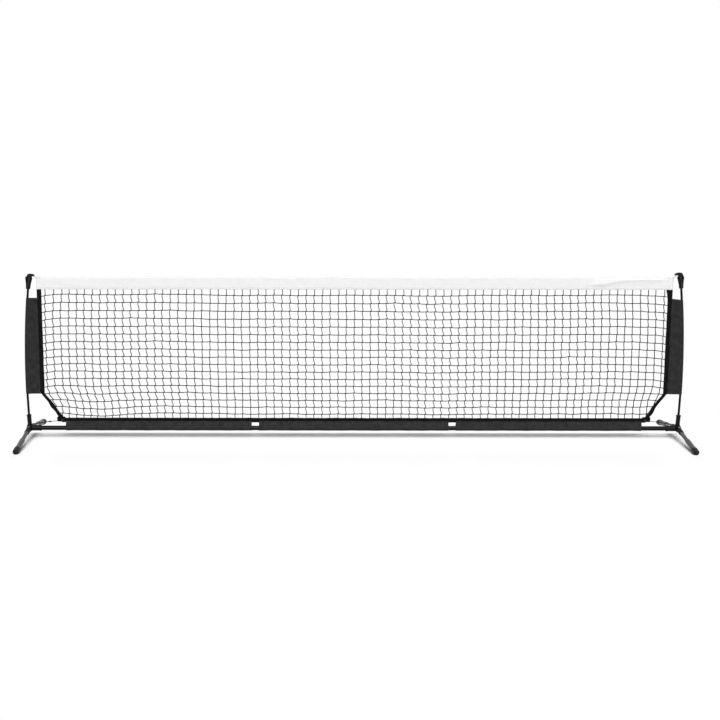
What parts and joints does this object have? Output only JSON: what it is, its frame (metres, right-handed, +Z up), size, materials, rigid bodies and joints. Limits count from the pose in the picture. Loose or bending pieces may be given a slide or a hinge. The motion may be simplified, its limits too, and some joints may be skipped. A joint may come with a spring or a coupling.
{
  "type": "portable pickleball net",
  "caption": "Free-standing portable pickleball net: a taped mesh held between two flexible posts on a tubular base whose splayed legs fold in.",
  "frame": {"origin": "on the floor under the middle of the net", "axes": "+X along the net to the viewer's right, -Y towards the viewer, +Z up"},
  "size_m": [3.6714, 0.7576, 0.9303],
  "materials": {
    "black_steel": "satin black powder coat",
    "zinc_steel": "bright zinc plate",
    "spring_steel": "blued spring steel",
    "black_fibreglass": "smooth pultruded fibreglass",
    "black_hub": "moulded glass-filled nylon",
    "black_rubber": "dark grey matt rubber sleeve",
    "black_cap": "black moulded rubber",
    "black_nylon": "black woven oxford nylon",
    "black_webbing": "black ribbed polypropylene webbing",
    "black_pocket": "gathered black nylon webbing",
    "net_twine": "black knotted twine",
    "white_tape": "white woven polyester tape",
    "white_cord": "white braided cord",
    "black_cord": "black braided elastic cord",
    "black_crimp": "black moulded crimp"
  },
  "bodies": {
    "frame": {"base_tube_middle": "black_steel", "head_cord": "white_cord", "tape": "white_tape", "net": "net_twine", "bottom_binding": "black_webbing", "bottom_sleeve_middle": "black_nylon", "hub_left": "black_hub", "hub_right": "black_hub", "base_tube_left": "black_steel", "base_tube_right": "black_steel", "bar_spigot_left": "zinc_steel", "bar_spigot_right": "zinc_steel", "joint_button_spring_left": "spring_steel", "joint_button_spring_right": "spring_steel", "hub_button_spring_left": "spring_steel", "hub_button_spring_right": "spring_steel", "post_left": "black_fibreglass", "post_right": "black_fibreglass", "tip_pocket_left": "black_pocket", "tip_pocket_right": "black_pocket", "hinge_pins_left": "zinc_steel", "hinge_pins_right": "zinc_steel", "side_binding_left": "black_webbing", "side_binding_right": "black_webbing", "side_sleeve_left": "black_nylon", "side_sleeve_right": "black_nylon", "corner_binding_left": "black_webbing", "corner_binding_right": "black_webbing", "corner_patch_left": "black_webbing", "corner_patch_right": "black_webbing", "corner_grommet_left": "zinc_steel", "corner_grommet_right": "zinc_steel", "bottom_sleeve_left": "black_nylon", "bottom_sleeve_right": "black_nylon", "corner_cord_left": "black_cord", "corner_cord_right": "black_cord", "cord_crimp_left": "black_crimp", "cord_crimp_right": "black_crimp"},
    "leg_front_left": {"leg_knuckle_front_left": "black_hub", "leg_tube_front_left": "black_steel", "leg_boot_front_left": "black_rubber", "foot_cap_front_left": "black_cap"},
    "leg_back_left": {"leg_knuckle_back_left": "black_hub", "leg_tube_back_left": "black_steel", "leg_boot_back_left": "black_rubber", "foot_cap_back_left": "black_cap"},
    "joint_button_left": {"joint_button_left": "zinc_steel"},
    "hub_button_left": {"hub_button_left": "zinc_steel"},
    "leg_front_right": {"leg_knuckle_front_right": "black_hub", "leg_tube_front_right": "black_steel", "leg_boot_front_right": "black_rubber", "foot_cap_front_right": "black_cap"},
    "leg_back_right": {"leg_knuckle_back_right": "black_hub", "leg_tube_back_right": "black_steel", "leg_boot_back_right": "black_rubber", "foot_cap_back_right": "black_cap"},
    "joint_button_right": {"joint_button_right": "zinc_steel"},
    "hub_button_right": {"hub_button_right": "zinc_steel"}
  },
  "joints": [
    {"name": "leg_front_left_fold", "type": "hinge", "parent": "frame", "child": "leg_front_left", "pos_m": [-1.8167, -0.035, 0.062], "axis": [0, 0, 1], "range_deg": [0, 90]},
    {"name": "leg_back_left_fold", "type": "hinge", "parent": "frame", "child": "leg_back_left", "pos_m": [-1.8167, 0.035, 0.062], "axis": [0, 0, -1], "range_deg": [0, 90]},
    {"name": "leg_front_right_fold", "type": "hinge", "parent": "frame", "child": "leg_front_right", "pos_m": [1.8167, -0.035, 0.062], "axis": [0, 0, -1], "range_deg": [0, 90]},
    {"name": "leg_back_right_fold", "type": "hinge", "parent": "frame", "child": "leg_back_right", "pos_m": [1.8167, 0.035, 0.062], "axis": [0, 0, 1], "range_deg": [0, 90]},
    {"name": "joint_button_left_press", "type": "slide", "parent": "frame", "child": "joint_button_left", "axis": [0, 0, -1], "range_m": [0, 0.0044], "stiffness_N_per_m": 600, "deforming": ["joint_button_spring_left"]},
    {"name": "hub_button_left_press", "type": "slide", "parent": "frame", "child": "hub_button_left", "axis": [0, 0, -1], "range_m": [0, 0.006], "stiffness_N_per_m": 600, "deforming": ["hub_button_spring_left"]},
    {"name": "joint_button_right_press", "type": "slide", "parent": "frame", "child": "joint_button_right", "axis": [0, 0, -1], "range_m": [0, 0.0044], "stiffness_N_per_m": 600, "deforming": ["joint_button_spring_right"]},
    {"name": "hub_button_right_press", "type": "slide", "parent": "frame", "child": "hub_button_right", "axis": [0, 0, -1], "range_m": [0, 0.006], "stiffness_N_per_m": 600, "deforming": ["hub_button_spring_right"]}
  ]
}
